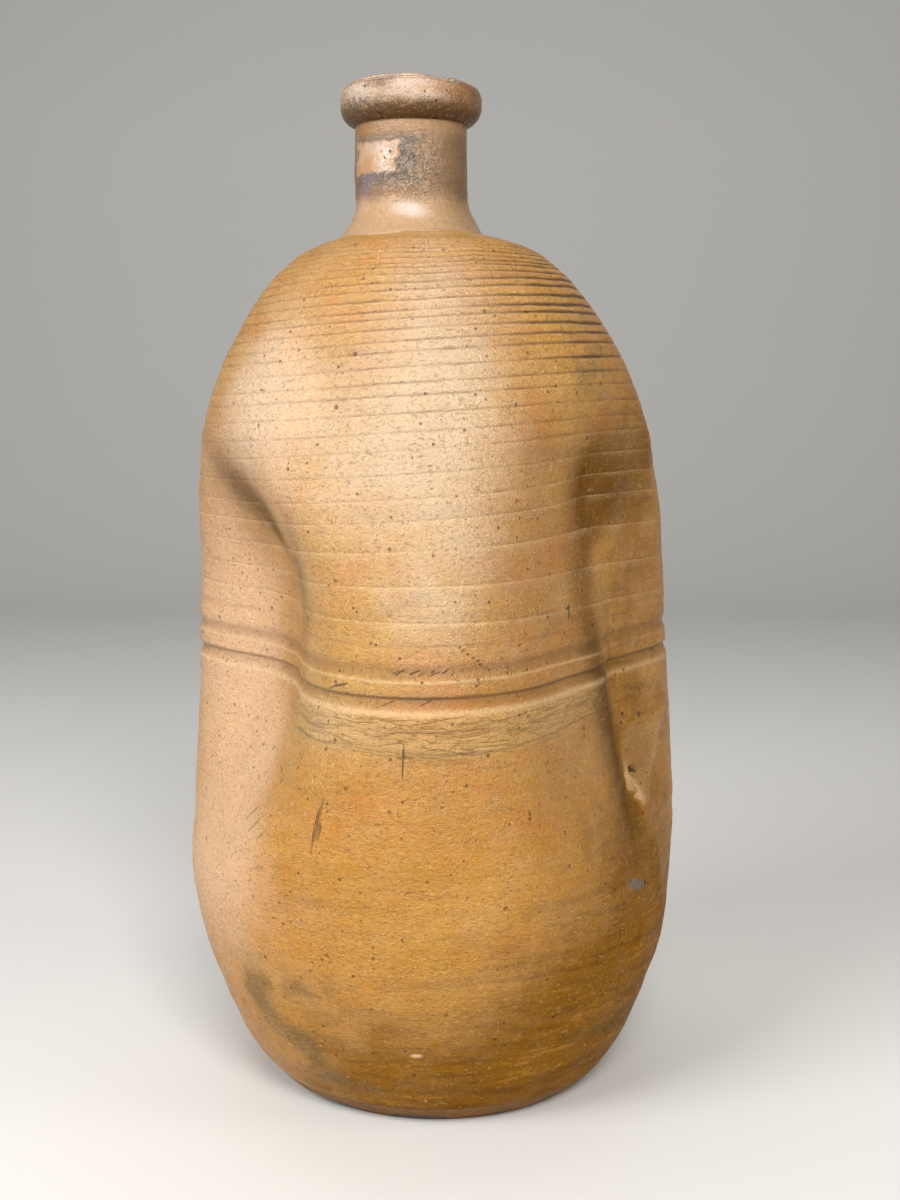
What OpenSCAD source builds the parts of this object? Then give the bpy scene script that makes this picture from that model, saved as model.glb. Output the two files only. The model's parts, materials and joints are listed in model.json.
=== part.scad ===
// Stoneware sake bottle with three hand-pressed dents.
// Thrown and luted together in sections: base slab, lower wall, upper wall with the shoulder,
// neck tube and rolled rim. The foot rests on z = 0, and the front lobe faces -Y.

/* [Body] */
// Height from the foot to the top of the shoulder
body_h = 237.5; // [225:0.5:250]
// Radius at the crest of the lobes
body_r = 77; // [74:0.5:80]
// Thickness of the body wall
wall_t = 7; // [5:0.5:8]
// Thickness of the floor
floor_t = 9; // [8:0.5:12]
// How far the neck stands to the left of the foot's centre
neck_shift = 7.2; // [0:0.1:9]

/* [Dents] */
// Depth of the left dent below the lobes
left_depth = 32; // [20:1:33]
// Depth of the right dent
right_depth = 21; // [15:1:26]
// Depth of the dent at the back
back_depth = 24; // [15:1:28]

/* [Incised lines] */
// Height of the upper line of the pair around the waist
line_z = 127.5; // [124:0.5:132]
// Distance between the two lines
line_gap = 7; // [6:0.5:8]
// Depth of each line
line_depth = 1; // [0.5:0.1:1.4]

/* [Neck and rim] */
// Radius of the mouth and of the passage through the neck
bore_r = 10.5; // [9:0.5:11.5]
// Outer radius of the neck
neck_r = 15.5; // [15:0.1:16]
// Outer radius of the rolled rim
rim_r = 19.4; // [19:0.1:21]
// Height of the neck above the shoulder
neck_h = 29; // [24:0.5:40]
// Height of the rim
rim_h = 12; // [11:0.5:13]

/* [Hidden] */
clay = "peru";
dark_clay = "sienna";

round_fn = 96;        // exact round parts
sides = 64;           // facets around the pressed walls
wall_step = 6.5;      // ring spacing of the pressed walls
foot_z = 6;           // height of the ledge that the lower wall stands on
scarf = 6;            // how far the sloping joint between the walls climbs inwards
seam_z = line_z - line_gap;
line_half = 1.5;      // half width of an incised line
hole_r = bore_r + 1.5;       // hole in the shoulder
spigot_r = bore_r + 1;       // collar of the neck that enters the hole
spigot_h = 5;
neck_foot_r = 18.5;
neck_z = body_h;
rim_z = neck_z + neck_h;
tongue_r = bore_r + 2;       // upstand of the neck that the rim sits over
tongue_h = 4;
flare_h = 10;         // height of the flare at the neck's foot

// Crest radius up the body, as [part of body_h, part of body_r]
CREST = [
    [0, 0.552], [0.015, 0.614], [0.05, 0.699], [0.1, 0.771], [0.17, 0.852], [0.25, 0.917],
    [0.345, 0.972], [0.45, 1.007], [0.55, 0.998], [0.65, 0.965], [0.74, 0.875], [0.81, 0.785],
    [0.875, 0.686], [0.925, 0.596], [0.965, 0.482], [0.99, 0.353], [1, 0.22]
];
// Sideways lean of the body's axis towards the neck, as [part of body_h, part of neck_shift]
LEAN = [[0, 0], [0.1, 0.14], [0.25, 0.12], [0.55, 0.44], [0.8, 0.48], [0.95, 0.58], [1, 0.85]];

// Each dent: direction, height of its middle, reach up, reach down, drift of its top and of its
// bottom, width on its front side and on its rear side, width of its ends against its middle,
// depth, and how flat its floor is up the wall and around it
DENTS = [
    [-60, 129.3, 42.4, 46.7, -3.3, -7.3, 35.5, 38.6, 0.66, left_depth, 3.1, 2.7],
    [63.8, 130.3, 55.5, 60.7, -5.8, 3.4, 43, 35.5, 0.65, right_depth, 3.3, 3.4],
    [180, 128, 50, 56, 0, 0, 28, 28, 0.6, back_depth, 2.8, 2.6]
];
// A thumb's press at the top of the right dent: direction, height, half width, half height, depth
PRESS = [56, 168, 11, 17, 3.5];

// Slope at point i of a table, with no overshoot between points
function chord(t, i) = (t[i + 1][1] - t[i][1]) / (t[i + 1][0] - t[i][0]);
function knot_slope(t, i) =
    i == 0 ? chord(t, 0) :
    i == len(t) - 1 ? chord(t, i - 1) :
    chord(t, i - 1) * chord(t, i) <= 0 ? 0 :
    2 / (1 / chord(t, i - 1) + 1 / chord(t, i));
function segment(t, x, i = 0) = i >= len(t) - 2 || x < t[i + 1][0] ? i : segment(t, x, i + 1);

// Smooth curve through a table of [x, y] points
function curve(t, x) =
    let (i = segment(t, x), h = t[i + 1][0] - t[i][0], u = max(0, min(1, (x - t[i][0]) / h)))
    t[i][1] * (1 + 2 * u) * (1 - u) * (1 - u) + knot_slope(t, i) * h * u * (1 - u) * (1 - u)
    + t[i + 1][1] * u * u * (3 - 2 * u) + knot_slope(t, i + 1) * h * u * u * (u - 1);

function turn(a) = (a + 540) % 360 - 180;

// How far one dent pushes the wall in, at a direction and height
function dent(d, a, z) =
    let (
        above = z > d[1],
        v = abs(z - d[1]) / (above ? d[2] : d[3]),
        full = exp(-pow(v, d[10])),
        off = turn(a - d[0] - (above ? d[4] : d[5]) * pow(min(v, 1.5), 2)),
        rear = off * sign(turn(d[0])) > 0,
        width = (rear ? d[7] : d[6]) * (d[8] + (1 - d[8]) * full)
    )
    d[9] * full * exp(-pow(abs(off) / width, d[11]));
function press(p, a, z) = p[4] * exp(-pow(turn(a - p[0]) / p[2], 2) - pow((z - p[1]) / p[3], 2));
function dents(a, z) =
    dent(DENTS[0], a, z) + dent(DENTS[1], a, z) + dent(DENTS[2], a, z) + press(PRESS, a, z);

function crest(z) = body_r * curve(CREST, z / body_h);
function crest_slope(z) = (crest(z + 0.2) - crest(z - 0.2)) / 0.4;
function lean(z) = -neck_shift * curve(LEAN, z / body_h);

// Depth of the two incised lines at a height
function incised(z) =
    line_depth * (exp(-pow((z - line_z) / line_half, 4)) + exp(-pow((z - seam_z) / line_half, 4)));

// Points of the outer and inner skin, at a direction and height
function skin(r, a, z, x) = [x + r * sin(a), -r * cos(a), z];
function outer_point(a, z) = skin(crest(z) - dents(a, z) - incised(z), a, z, lean(z));
function inner_point(a, z) =
    let (m = crest_slope(z), n = sqrt(1 + m * m))
    skin(crest(z) - dents(a, z) - wall_t / n, a, z + wall_t * m / n, lean(z));

// Heights from a to b in even steps
function heights(a, b, step) = let (n = ceil((b - a) / step)) [for (i = [0 : n]) a + (b - a) * i / n];

// Closed ring swept around the body: profiles[j] is the outline at direction j
module swept_ring(profiles) {
    n = len(profiles);
    m = len(profiles[0]);
    points = [for (p = profiles) for (q = p) q];
    function at(j, i) = (j % n) * m + (i % m);
    faces = [
        for (j = [0 : n - 1]) for (i = [0 : m - 1]) each [
            [at(j, i), at(j, i + 1), at(j + 1, i + 1)],
            [at(j, i), at(j + 1, i + 1), at(j + 1, i)]
        ]
    ];
    polyhedron(points, faces, convexity = 6);
}

// Floor slab with a rounded foot and a ledge for the wall
module base() {
    edge = [for (z = heights(0, foot_z, 1)) [crest(z), z]];
    color(dark_clay)
    rotate_extrude($fn = round_fn)
    union() {
        polygon(concat([[0, 0]], edge, [[0, foot_z]]));
        square([crest(foot_z) - wall_t - 1, floor_t]);
    }
}

// Wall from the floor to the lower incised line
module lower_wall() {
    out_z = concat([foot_z], heights(foot_z + 4, seam_z - 4, wall_step), [seam_z - 2, seam_z]);
    in_z = heights(foot_z + 4, seam_z + scarf, wall_step * 1.8);
    inner_foot = crest(foot_z) - wall_t;
    color(clay)
    swept_ring([
        for (j = [0 : sides - 1]) let (a = j * 360 / sides) concat(
            [for (z = out_z) outer_point(a, z)],
            [for (i = [len(in_z) - 1 : -1 : 0]) inner_point(a, in_z[i])],
            [skin(inner_foot, a, foot_z, lean(foot_z))]
        )
    ]);
}

// Wall from the lower incised line over the shoulder to the neck
module upper_wall() {
    line_rings = [seam_z, seam_z + 2, line_z - 2, line_z - 1, line_z + 1, line_z + 2];
    top_rings = [0.97, 0.985, 0.995, 1] * body_h;
    out_z = concat(line_rings, heights(line_z + 5, body_h * 0.95, wall_step), top_rings);
    in_z = heights(seam_z + scarf, body_h * 0.97, wall_step * 1.6);
    color(clay)
    swept_ring([
        for (j = [0 : sides - 1]) let (a = j * 360 / sides) concat(
            [for (z = out_z) outer_point(a, z)],
            [skin(hole_r, a, body_h, -neck_shift), skin(hole_r, a, body_h - wall_t, -neck_shift)],
            [for (i = [len(in_z) - 1 : -1 : 0]) inner_point(a, in_z[i])]
        )
    ]);
}

// Outline of the neck: spigot, flared foot, tube and tongue
module neck_outline() {
    translate([bore_r, neck_z - spigot_h]) square([spigot_r - bore_r, spigot_h + 1]);
    translate([bore_r, neck_z]) square([neck_r - bore_r, neck_h]);
    translate([bore_r, rim_z - 1]) square([tongue_r - bore_r, tongue_h + 1]);
    difference() {
        translate([neck_r - 1, neck_z]) square([neck_foot_r - neck_r + 1, flare_h]);
        translate([neck_r + flare_h, neck_z + flare_h]) circle(flare_h, $fn = round_fn);
    }
}

module neck() {
    color(clay)
    translate([-neck_shift, 0, 0])
    rotate_extrude($fn = round_fn)
    neck_outline();
}

// Outline of the rim: a fat rolled bead with a seat for the neck's tongue
module rim_outline() {
    bead_r = rim_h / 2;
    difference() {
        union() {
            translate([rim_r - bead_r, rim_z + bead_r]) circle(bead_r, $fn = round_fn);
            translate([bore_r, rim_z]) square([rim_r - bead_r - bore_r, bead_r]);
        }
        translate([0, rim_z - 1]) square([tongue_r, tongue_h + 1]);
        translate([0, rim_z - 1]) square([bore_r, rim_h + 2]);
    }
}

module rim() {
    color(dark_clay)
    translate([-neck_shift, 0, 0])
    rotate_extrude($fn = round_fn)
    rim_outline();
}

base();
lower_wall();
upper_wall();
neck();
rim();
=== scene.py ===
"""Stoneware sake bottle: three hand-pressed dents, a combed spiral line, a double line at the waist."""

import json
import math
from collections import namedtuple

import bpy
import numpy as np
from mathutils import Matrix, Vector


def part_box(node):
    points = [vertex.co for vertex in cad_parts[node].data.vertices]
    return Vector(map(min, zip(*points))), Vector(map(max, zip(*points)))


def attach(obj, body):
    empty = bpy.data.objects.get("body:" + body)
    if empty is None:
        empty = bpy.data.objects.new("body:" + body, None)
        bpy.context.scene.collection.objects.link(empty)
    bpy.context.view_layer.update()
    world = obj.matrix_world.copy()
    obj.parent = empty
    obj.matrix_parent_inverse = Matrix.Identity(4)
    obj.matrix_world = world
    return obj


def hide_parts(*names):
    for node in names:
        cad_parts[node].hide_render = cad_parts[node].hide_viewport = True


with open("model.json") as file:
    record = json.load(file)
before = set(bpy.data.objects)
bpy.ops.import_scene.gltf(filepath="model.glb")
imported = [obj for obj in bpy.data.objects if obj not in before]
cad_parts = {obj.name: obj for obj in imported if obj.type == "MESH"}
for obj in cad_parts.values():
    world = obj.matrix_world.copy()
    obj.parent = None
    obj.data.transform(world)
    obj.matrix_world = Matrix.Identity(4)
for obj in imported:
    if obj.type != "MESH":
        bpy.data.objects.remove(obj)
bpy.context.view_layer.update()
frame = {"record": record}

MM = 0.001

# ---------------------------------------------------------------- sizes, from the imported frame, in mm
base_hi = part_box("base")[1]
lower_lo, lower_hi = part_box("lower_wall")
upper_lo, upper_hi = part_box("upper_wall")
neck_lo, neck_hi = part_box("neck")
rim_lo, rim_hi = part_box("rim")

BODY_H = upper_hi[2] / MM
FOOT_Z = lower_lo[2] / MM
FLOOR_Z = base_hi[2] / MM
SEAM_Z = upper_lo[2] / MM
SCARF = lower_hi[2] / MM - SEAM_Z
RIM_Z = rim_lo[2] / MM
TOP_Z = rim_hi[2] / MM
RIM_R = (rim_hi[0] - rim_lo[0]) / 2 / MM
NECK_X = (rim_hi[0] + rim_lo[0]) / 2 / MM
MOUTH = next(m for m in frame["record"]["mounts"] if m["name"] == "mouth")
BORE_R = MOUTH["dims"]["r_mm"]
BODY_R = 77.0
NECK_R = 15.5
WALL = 7.0
LINE_GAP = 7.0
LINE_Z = SEAM_Z + LINE_GAP
HOLE_R = BORE_R + 1.5
SPIGOT_R = BORE_R + 1
TONGUE_R = BORE_R + 2
SPIGOT_Z = neck_lo[2] / MM
TONGUE_Z = neck_hi[2] / MM

# Crest radius up the body, as [part of BODY_H, part of BODY_R], and the lean of its axis
CREST = np.array([
    [0, 0.552], [0.015, 0.614], [0.05, 0.699], [0.1, 0.771], [0.17, 0.852], [0.25, 0.917],
    [0.345, 0.972], [0.45, 1.007], [0.55, 0.998], [0.65, 0.965], [0.74, 0.875], [0.81, 0.785],
    [0.875, 0.686], [0.925, 0.596], [0.965, 0.482], [0.99, 0.353], [1, 0.22],
])
LEAN = np.array([
    [0, 0], [0.1, 0.14], [0.25, 0.12], [0.55, 0.44], [0.8, 0.48], [0.965, 0.6], [1, 0.66],
])

# A dent: direction, height of its middle, reach up, reach down, drift of its top and of its bottom,
# width on its front side and on its rear side, width of the ends against the middle, depth, and
# how flat its floor is up the wall and around it
Dent = namedtuple("Dent", "at height up low drift_up drift_low front rear ends depth fall power")
DENTS = [
    Dent(-60, 129.3, 42.4, 46.7, -3.3, -7.3, 35.5, 38.6, 0.66, 32, 3.1, 2.7),
    Dent(63.8, 130.3, 55.5, 60.7, -5.8, 3.4, 43, 35.5, 0.65, 21, 3.3, 3.4),
    Dent(180, 128, 50, 56, 0, 0, 28, 28, 0.6, 24, 2.8, 2.6),
]
# A thumb's press at the top of the right dent: direction, height, half width in degrees, half height
# and depth
PRESS = (56, 168, 11, 17, 3.5)
# The fold in the right dent, by height: its direction, its depth, and its widths in degrees
FOLD_AT = np.array([
    [40, 44], [60, 55], [70, 58.5], [80, 64], [91, 70], [103, 69.4], [127, 70.1], [150, 66.3],
    [170, 59.7], [240, 50],
])
FOLD_DEPTH = np.array([
    [0, 0], [56, 0], [70, 1.2], [84, 2.8], [100, 3], [127, 2.6], [150, 2.0], [172, 0.8], [184, 0],
    [240, 0],
])
FOLD_FRONT, FOLD_REAR = 10.0, 6.5


# ---------------------------------------------------------------- shape of the body
def curve(table, x):
    """Smooth curve through a table of points, with no overshoot between them."""
    xs, ys = table[:, 0], table[:, 1]
    chord = np.diff(ys) / np.diff(xs)
    slope = np.empty(len(xs))
    slope[0], slope[-1] = chord[0], chord[-1]
    before, after = chord[:-1], chord[1:]
    same = before * after > 0
    slope[1:-1] = np.where(same, 2 * before * after / np.where(same, before + after, 1), 0)
    i = np.clip(np.searchsorted(xs, x, side="right") - 1, 0, len(xs) - 2)
    h = xs[i + 1] - xs[i]
    u = np.clip((x - xs[i]) / h, 0, 1)
    start = ys[i] * (1 + 2 * u) * (1 - u) ** 2 + slope[i] * h * u * (1 - u) ** 2
    return start + ys[i + 1] * u * u * (3 - 2 * u) + slope[i + 1] * h * u * u * (u - 1)


def ease(a, b, x):
    """0 at a, 1 at b, smooth between."""
    u = np.clip((x - a) / (b - a), 0, 1)
    return u * u * (3 - 2 * u)


def bell(x, middle, width):
    """1 where x is at the middle, falling smoothly to 0 on either side."""
    return np.exp(-(((x - middle) / width) ** 2))


def turn(degrees):
    """The same direction from -180 to 180."""
    return (degrees + 540) % 360 - 180


def dent(d, a, z):
    """How far one dent pushes the wall in, at a direction and height."""
    above = z > d.height
    far = np.abs(z - d.height) / np.where(above, d.up, d.low)
    full = np.exp(-(far**d.fall))
    off = turn(a - d.at - np.where(above, d.drift_up, d.drift_low) * np.minimum(far, 1.5) ** 2)
    rear = off * math.copysign(1, turn(d.at)) > 0
    width = np.where(rear, d.rear, d.front) * (d.ends + (1 - d.ends) * full)
    return d.depth * full * np.exp(-((np.abs(off) / width) ** d.power))


def press(p, a, z):
    """A thumb's press: direction, height, half width in degrees, half height and depth in mm."""
    at, height, half_a, half_z, depth = p
    return depth * np.exp(-((turn(a - at) / half_a) ** 2) - ((z - height) / half_z) ** 2)


def fold(a, z):
    """The crease down the right dent where the front panel tucks under the lobe."""
    off = turn(a - curve(FOLD_AT, z))
    width = np.where(off < 0, FOLD_FRONT, FOLD_REAR)
    return curve(FOLD_DEPTH, z) * np.exp(-((np.abs(off) / width) ** 1.8))


def dents(a, z):
    return sum(dent(d, a, z) for d in DENTS) + press(PRESS, a, z) + fold(a, z)


def crest(z):
    return BODY_R * curve(CREST, z / BODY_H)


def lean(z):
    return NECK_X * curve(LEAN, z / BODY_H)


# The crest's outline, by distance down the wall from the edge of the shoulder's top
OUTLINE_POINTS = 6000
OUTLINE_Z = np.linspace(0, BODY_H, OUTLINE_POINTS)[::-1]
OUTLINE_R = crest(OUTLINE_Z)
ARC = np.concatenate([[0], np.cumsum(np.hypot(np.diff(OUTLINE_Z), np.diff(OUTLINE_R)))])
ALONG_Z, ALONG_R = np.gradient(OUTLINE_Z, ARC), np.gradient(OUTLINE_R, ARC)


def arc_z(s):
    """Height at distance s down the wall."""
    return np.interp(s, ARC, OUTLINE_Z)


def arc_of(z):
    """Distance down the wall at a height."""
    return np.interp(-np.asarray(z), -OUTLINE_Z, ARC)


def normal_at(s):
    """Outward normal of the crest's outline, as (radial, upward)."""
    tz, tr = np.interp(s, ARC, ALONG_Z), np.interp(s, ARC, ALONG_R)
    n = np.hypot(tz, tr)
    return -tz / n, tr / n


def body_point(s, a, relief=0.0, inside=0.0):
    """Points of the wall at distance s down from the top and direction a, raised by relief or sunk
    by inside."""
    z = arc_z(s)
    nr, nz = normal_at(s)
    lift = relief - inside
    r = crest(z) - dents(a, z) + lift * nr
    t = np.radians(a)
    return np.stack([lean(z) + r * np.sin(t), -r * np.cos(t), z + lift * nz + 0 * a], axis=-1)


# ---------------------------------------------------------------- fine relief, in mm
# Length that a ripple's cells cover, more than the distance down the wall
RIPPLE_REACH = 330


def ripple(a, s, seed, around, step):
    """Smooth random relief from -1 to 1: so many cells around the bottle, each step mm high."""
    cells = (around, int(RIPPLE_REACH / step) + 3)
    grid = np.random.default_rng(seed).uniform(-1, 1, cells)
    x = (np.asarray(a) % 360) / 360 * around
    y = np.asarray(s) / step + 1
    i, j = np.floor(x).astype(int), np.floor(y).astype(int)
    u, v = ease(0, 1, x - i), ease(0, 1, y - j)
    i0, i1 = i % around, (i + 1) % around
    low = grid[i0, j] * (1 - u) + grid[i1, j] * u
    high = grid[i0, j + 1] * (1 - u) + grid[i1, j + 1] * u
    return low * (1 - v) + high * v


def near(a, z, at_a, at_z, lean_deg=0.0):
    """Distances along and across a mark at direction at_a and height at_z, in mm."""
    dx = np.radians(turn(a - at_a)) * crest(at_z)
    dz = z - at_z
    c, q = math.cos(math.radians(lean_deg)), math.sin(math.radians(lean_deg))
    return dx * c + dz * q, dz * c - dx * q


def patch(a, z, at_a, at_z, half_w, half_h, lean_deg=0.0):
    """1 in the middle of a mark, 0 outside it."""
    u, v = near(a, z, at_a, at_z, lean_deg)
    return np.exp(-((u / half_w) ** 2) - (v / half_h) ** 2)


def trough(off, above, below, sharp, lip_at, lip_width):
    """Section of a tooled line, 1 deep: steep above, easing out to a raised lip below."""
    width = np.where(off > 0, above, below)
    power = np.where(off > 0, sharp, 1.7)
    cut = np.exp(-((np.abs(off) / width) ** power))
    return cut, bell(off, -lip_at, lip_width)


def waist_lines(a, z):
    """The pair of tooled lines around the waist: relief, painted shade in the grooves and along the
    crease, and a painted highlight on their lips, weaker on the right.
    """
    wander = 0.25 * ripple(a, 0 * a, 31, 14, 5) + 0.12 * ripple(a, 0 * a, 32, 60, 5)
    power = 0.9 + 0.15 * ripple(a, 0 * a, 33, 26, 5)
    high, high_lip = trough(z - LINE_Z - 0.3 - wander, 1.5, 1.7, 2.2, 2.4, 0.4)
    low, low_lip = trough(z - SEAM_Z - 0.5, 0.55, 2.2, 3.0, 3.3, 0.8)
    relief = power * (0.2 * high_lip + 0.22 * low_lip - 0.8 * high - 1.15 * low)
    crease = bell(z, SEAM_Z + 0.7, 0.75)
    shade = np.maximum(0.4 * high, np.maximum(0.4 * low, 0.7 * power * crease))
    right = ease(45, 66, a) * (1 - ease(110, 175, a))
    # Painted shade in the pocket where the lower line runs into the fold
    shade = np.maximum(shade, patch(a, z, 63, SEAM_Z - 1.5, 4.5, 1.6, 22))
    return relief, shade, np.maximum((0.8 - 0.6 * right) * high_lip, (1 - 0.35 * right) * low_lip)


def torn_band(a, z):
    """A smeared layer below the lines that ends in torn, ragged edges at the front: relief, where
    it lies, and its dark edges."""
    side = ease(-40, -31, a) * (1 - ease(48, 60, a))
    rise = 2.2 * ease(30, 58, a)
    first = z - 113.0 - rise - 1.1 * ripple(a, 0 * a, 41, 40, 5) - 0.5 * ripple(a, 0 * a, 42, 120, 5)
    last = z - 108.9 - rise - 0.9 * ripple(a, 0 * a, 43, 34, 5) - 0.4 * ripple(a, 0 * a, 44, 110, 5)
    under = 1 - ease(SEAM_Z - 4.2, SEAM_Z - 2.6, z)
    scrape = ripple(a, z, 45, 60, 0.7) + 0.7 * ripple(a, z, 46, 150, 1.2)
    relief = 0.34 * ease(-0.2, 0.2, first) + 0.42 * ease(-0.25, 0.25, last) - 0.36
    relief = relief + 0.13 * scrape * ease(-1.5, 0, last)
    edge = bell(first, -0.1, 0.35) + bell(last, -0.1, 0.4)
    broken = np.clip(0.45 + 0.9 * ripple(a, 0 * a, 47, 44, 5), 0, 1)
    return side * under * relief, side * under * ease(-2.5, 0.5, last), side * under * edge * broken


def smear(a, z):
    """A thin patch of clay pressed on below the waist at the right: relief, its pit, its pale edge."""
    left = a - 71.5 - 2.0 * ripple(0 * a, z, 48, 1, 5)
    right = a - 78 - 0.9 * (z - 82)
    top = z - 101.5 - 0.08 * (a - 75) - 1.2 * ripple(a, 0 * a, 49, 60, 5)
    layer = ease(-1.2, 1.2, left) * (1 - ease(-3, 3, right)) * (1 - ease(-0.8, 0.8, top))
    layer = layer * ease(80, 82, z)
    ridge = patch(a, z, 86, 91, 7, 0.9, 35)
    folds = 0.3 * ripple(a, z, 50, 44, 4.5) + 0.5 * ridge
    pit = patch(a, z, 73.4, 90.2, 1.5, 0.8, 30)
    rim = bell(left, 0.4, 1.2) * (1 - ease(90, 96, z)) * ease(79, 82, z)
    pale = np.clip(0.25 * layer + 0.7 * ridge * layer + 0.6 * rim, 0, 1)
    return layer * (0.8 + folds) - 1.4 * pit, pit, pale


# The shaded side of the fold, where the front panel turns away, by height: its middle in degrees,
# its strength, and how far it spreads to the front and to the rear
SHADE_AT = np.array([
    [40, 54], [60, 57], [82, 64], [98, 63], [112, 60], [126, 54.5], [140, 50.5], [150, 51],
    [160, 58], [168, 61], [190, 60], [240, 60],
])
SHADE_POWER = np.array([
    [0, 0], [56, 0], [70, 0.6], [84, 0.85], [112, 0.9], [128, 0.8], [142, 0.65], [152, 0.7],
    [163, 1], [172, 1], [184, 0.55], [200, 0], [240, 0],
])
SHADE_FRONT = np.array([[0, 11], [90, 11], [140, 12], [165, 18], [185, 19], [240, 19]])
SHADE_REAR = np.array([[0, 6], [120, 7], [148, 9], [166, 26], [185, 30], [240, 30]])


def fold_shade(a, z):
    """Strength of the fold's shade, 0 to 1."""
    off = turn(a - curve(SHADE_AT, z))
    width = np.where(off < 0, curve(SHADE_FRONT, z), curve(SHADE_REAR, z))
    return curve(SHADE_POWER, z) * np.exp(-((np.abs(off) / width) ** 1.8))


# Soft patches of each colour zone: strength, direction, height, half width and half height in mm,
# and lean in degrees
# Pale pink clay on the left, partly painted light: the side that faces the key light is lit up in its
# colour
PEACH_AND_LIT = [
    (1.0, -84, 125, 36, 55), (1.1, -56, 78, 26, 30), (0.9, -42, 190, 20, 24),
    (0.35, -30, 148, 14, 30),
]
# Pale ash that also stands for painted sheen: the whitish highlight down the front of the shoulder and
# on its left
ASH_AND_SHEEN = [
    (1.0, 4, 192, 19, 40), (0.5, -16, 180, 18, 22), (0.35, 2, 142, 14, 16),
    (0.8, -46, 194, 18, 22), (0.45, -20, 114, 15, 7),
]
SMOKE = [
    (0.3, 58, 214, 16, 12), (0.45, 53, 197, 13, 9), (0.8, -47, 36, 6, 10, -20),
    (0.75, -36, 25, 9, 6, -30), (0.45, -32, 42, 17, 6), (0.6, -28, 13, 12, 6),
    (0.5, 60, 24, 30, 8), (0.6, 150, 60, 40, 30), (0.5, -140, 190, 40, 24),
]
# Painted shade: under the top of the left dent and down the front edge of its scoop
SHADOW = [
    (0.75, -62, 169, 22, 10, -16), (0.7, -45, 159, 15, 7, -34), (0.55, -31, 145, 6.5, 21),
]
# Patches darker and browner on the right of the body: partly the clay's stain, partly painted shade on
# the side away from the light
BROWN_AND_SHADE = [(1.0, 58, 42, 42, 44), (0.62, 86, 172, 28, 40), (0.6, 74, 104, 34, 30)]
# The darkening of the foot, stronger to the right, partly a stain of the clay and partly painted shade:
# its strength, the height where it ends, and its share at the left
STAIN_AND_SHADE, STAIN_AND_SHADE_TOP, STAIN_AND_SHADE_LEFT = 0.92, 66, 0.3


def patches(table, a, z):
    """Sum of a table of soft patches."""
    return sum(power * patch(a, z, *shape) for power, *shape in table)


def zones(a, z):
    """Broad zones of colour, each 0 to 1: pale pink clay that partly stands for painted light, ash with
    a painted sheen, smoked clay, painted shade, and a dark stain that is partly painted shade.
    """
    shadow = patches(SHADOW, a, z) + fold_shade(a, z)
    right = ease(-70, -8, a) * (1 - ease(110, 175, a))
    foot = STAIN_AND_SHADE * (1 - ease(0, STAIN_AND_SHADE_TOP, z)) * (STAIN_AND_SHADE_LEFT + (1 - STAIN_AND_SHADE_LEFT) * right)
    found = (
        patches(PEACH_AND_LIT, a, z), patches(ASH_AND_SHEEN, a, z), patches(SMOKE, a, z), shadow,
        foot + patches(BROWN_AND_SHADE, a, z),
    )
    return tuple(np.clip(zone, 0, 1) for zone in found)


# What every vertex of a wall carries: its relief in mm and the strength of each colour zone
# dark and lip carry painted shade in the lines and painted highlights on their lips, with real ink and
# marks
Skin = namedtuple("Skin", "relief dark lip torn peach ash smoke shadow brown")
PLAIN_SKIN = Skin(*[0.0] * len(Skin._fields))


def body_skin(s, a):
    """Relief and colour zones of the wall, without the spiral."""
    z = arc_z(s) + 0 * a
    waist, shade, lip = waist_lines(a, z)
    layer, torn, edge = torn_band(a, z)
    wheel = 0.14 * ripple(0 * a, s, 51, 1, 5.5) + 0.06 * ripple(a, s, 52, 6, 2.3)
    hand = 0.35 * ripple(a, s, 53, 12, 30) + 0.18 * ripple(a, s, 54, 34, 11)
    skin = 0.05 * ripple(a, s, 55, 170, 2.4)
    pressed, pit, pale = smear(a, z)
    relief = waist + layer + wheel + hand + skin + pressed
    # dark: painted shade in the waist's grooves, with the torn edges and the pit darkened
    dark = np.clip(shade + 0.42 * edge + 0.7 * pit, 0, 1)
    return Skin(relief, dark, np.maximum(lip, pale), torn, *zones(a, z))


# ---------------------------------------------------------------- the combed spiral
# Distance of the line down the wall, turn by turn
LINE_TURNS = np.array([
    [0, 9], [1, 12], [9, 29.5], [13, 40.5], [17, 53], [21, 69.5], [25, 90.5], [27, 104.3],
    [30, 127.2], [31, 129],
])
FIRST_TURN, LAST_TURN = 1, 30
LINE_TILT = 0.08
# Rows of the mesh after each line and before the next, in mm, and how many share the gap between
AFTER_LINE = (0, 0.16, 0.38, 0.75)
BEFORE_LINE = (0.75, 0.38, 0.16)
GAP_ROWS = 3
FULL_PITCH = 2.3
TURN_ROWS = len(AFTER_LINE) + GAP_ROWS + len(BEFORE_LINE)


def tilt_shift(s, a):
    """The turns lean up to the right, less near the neck and near the waist."""
    fade = ease(8, 30, s) * (1 - ease(95, 128, s))
    return -LINE_TILT * crest(arc_z(s)) * np.sin(np.radians(a)) * fade


def line_at(n, a):
    """Distance down the wall of turn n of the line at direction a."""
    turns = n + a / 360
    s = curve(LINE_TURNS, turns)
    uneven = 0.05 * (s - 9) ** 0.5 * (np.sin(2.1 * turns) + 0.7 * np.sin(5.3 * turns + 1))
    s = s + uneven * (1 - ease(112, 124, s))
    return s + tilt_shift(s, a)


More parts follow.
